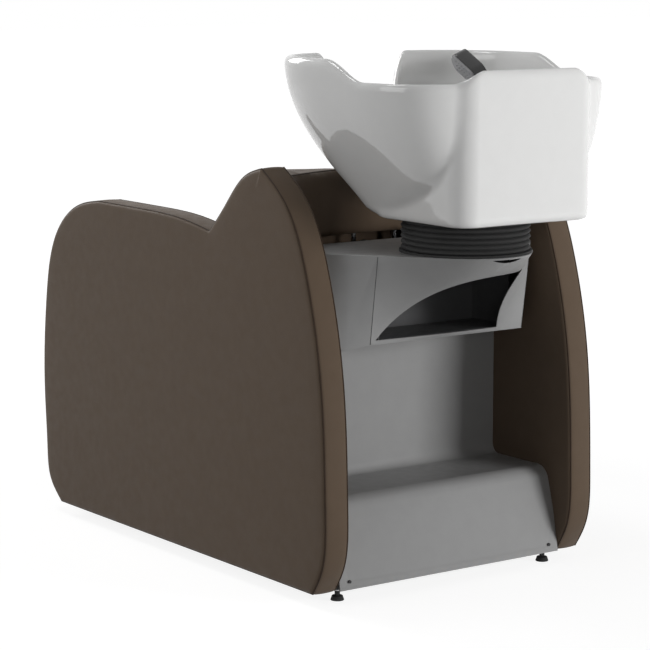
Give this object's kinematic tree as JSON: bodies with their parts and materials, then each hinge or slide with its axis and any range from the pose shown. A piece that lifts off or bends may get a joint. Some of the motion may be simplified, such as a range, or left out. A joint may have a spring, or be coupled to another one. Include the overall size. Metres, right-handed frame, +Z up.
{
  "type": "massage shampoo unit",
  "caption": "Salon shampoo chair in brown vinyl with massage backrest, tilting white ceramic basin on a bellows, grey rear cover with step and black hand shower.",
  "frame": {"origin": "on the floor under the middle of the overall box", "axes": "+Z up, +Y from the client's feet towards the basin, +X to the client's right-hand panel as seen from behind on the left"},
  "size_m": [0.64, 1.2091, 1.0026],
  "materials": {
    "brown_vinyl": "matt grained vinyl",
    "plywood": "sanded",
    "frame_black": "satin",
    "grey_plastic": "fine texture",
    "dark_plastic": "satin",
    "button_plastic": "satin",
    "white_ceramic": "glazed",
    "bellows_rubber": "matt",
    "foot_black": "matt",
    "bright_steel": "ground",
    "chrome_trim": "polished",
    "handset_black": "gloss",
    "spray_grey": "satin",
    "inlet_brass": "machined"
  },
  "bodies": {
    "chassis": {"side_pad_left": "brown_vinyl", "side_pad_right": "brown_vinyl", "seat_cushion": "brown_vinyl", "front_apron": "brown_vinyl", "back_cushion": "brown_vinyl", "back_rear_pad": "brown_vinyl", "side_board_left": "plywood", "side_board_right": "plywood", "seat_board": "plywood", "back_board": "plywood", "base_frame": "frame_black", "basin_arm": "frame_black", "inlet_bracket": "frame_black", "console": "grey_plastic", "rear_cover": "grey_plastic", "pocket_liner": "dark_plastic", "power_inlet": "dark_plastic", "keypad_housing": "dark_plastic", "massage_motor": "dark_plastic", "waste_pipe": "dark_plastic", "cover_screws": "dark_plastic", "bellows": "bellows_rubber", "bellows_ring": "bellows_rubber", "tilt_pins": "bright_steel", "massage_rails": "bright_steel", "lock_nuts": "bright_steel", "hot_inlet": "inlet_brass", "cold_inlet": "inlet_brass"},
    "basin": {"basin": "white_ceramic", "basin_cradle": "frame_black", "waste_strainer": "chrome_trim", "waste_tail": "chrome_trim", "handset_holder": "handset_black", "mixer_body": "chrome_trim"},
    "mixer_cap": {"mixer_cap": "chrome_trim"},
    "mixer_lever": {"mixer_lever": "chrome_trim"},
    "handset": {"handset_shell": "handset_black", "handset_face": "spray_grey"},
    "massage_carriage": {"massage_carriage": "dark_plastic"},
    "massage_screw": {"massage_screw": "bright_steel"},
    "massage_rollers": {"massage_rollers": "bellows_rubber"},
    "button_up": {"button_up": "button_plastic"},
    "button_power": {"button_power": "button_plastic"},
    "button_down": {"button_down": "button_plastic"},
    "foot_front_left": {"foot_front_left": "foot_black"},
    "foot_front_right": {"foot_front_right": "foot_black"},
    "foot_rear_left": {"foot_rear_left": "foot_black"},
    "foot_rear_right": {"foot_rear_right": "foot_black"}
  },
  "joints": [
    {"name": "basin_tilt", "type": "hinge", "parent": "chassis", "child": "basin", "pos_m": [0, 0.4225, 0.664], "axis": [1, 0, 0], "range_deg": [-6, 5], "deforming": ["bellows"]},
    {"name": "handset_lift", "type": "slide", "parent": "basin", "child": "handset", "axis": [0, -0.8829, 0.4695], "range_m": [0, 0.2]},
    {"name": "mixer_turn", "type": "hinge", "parent": "basin", "child": "mixer_cap", "pos_m": [0.084, 0.5525, 0.9104], "axis": [0, 0, 1], "range_deg": [-45, 45]},
    {"name": "mixer_lift", "type": "hinge", "parent": "mixer_cap", "child": "mixer_lever", "pos_m": [0.084, 0.5565, 0.9288], "axis": [-1, 0, 0], "range_deg": [0, 25]},
    {"name": "carriage_travel", "type": "slide", "parent": "chassis", "child": "massage_carriage", "axis": [0, 0, 1], "range_m": [-0.06, 0.06]},
    {"name": "screw_spin", "type": "hinge", "parent": "chassis", "child": "massage_screw", "pos_m": [0, 0.075, 0.59], "axis": [0, 0, 1], "range_deg": [-1100, 1100]},
    {"name": "roller_spin", "type": "hinge", "parent": "massage_carriage", "child": "massage_rollers", "pos_m": [0, 0.057, 0.59], "axis": [1, 0, 0], "continuous": true},
    {"name": "button_up_press", "type": "slide", "parent": "chassis", "child": "button_up", "axis": [-1, 0, 0], "range_m": [0, 0.002], "stiffness_N_per_m": 300},
    {"name": "button_power_press", "type": "slide", "parent": "chassis", "child": "button_power", "axis": [-1, 0, 0], "range_m": [0, 0.002], "stiffness_N_per_m": 300},
    {"name": "button_down_press", "type": "slide", "parent": "chassis", "child": "button_down", "axis": [-1, 0, 0], "range_m": [0, 0.002], "stiffness_N_per_m": 300},
    {"name": "foot_front_left_turn", "type": "hinge", "parent": "chassis", "child": "foot_front_left", "pos_m": [0.247, -0.5145, 0.02], "axis": [0, 0, 1], "continuous": true},
    {"name": "foot_front_right_turn", "type": "hinge", "parent": "chassis", "child": "foot_front_right", "pos_m": [-0.247, -0.5145, 0.02], "axis": [0, 0, 1], "continuous": true},
    {"name": "foot_rear_left_turn", "type": "hinge", "parent": "chassis", "child": "foot_rear_left", "pos_m": [0.247, 0.3635, 0.02], "axis": [0, 0, 1], "continuous": true},
    {"name": "foot_rear_right_turn", "type": "hinge", "parent": "chassis", "child": "foot_rear_right", "pos_m": [-0.247, 0.3635, 0.02], "axis": [0, 0, 1], "continuous": true}
  ],
  "couplings": [
    {"joint": "screw_spin", "follows": "carriage_travel", "rad_per_m": 314.16}
  ]
}
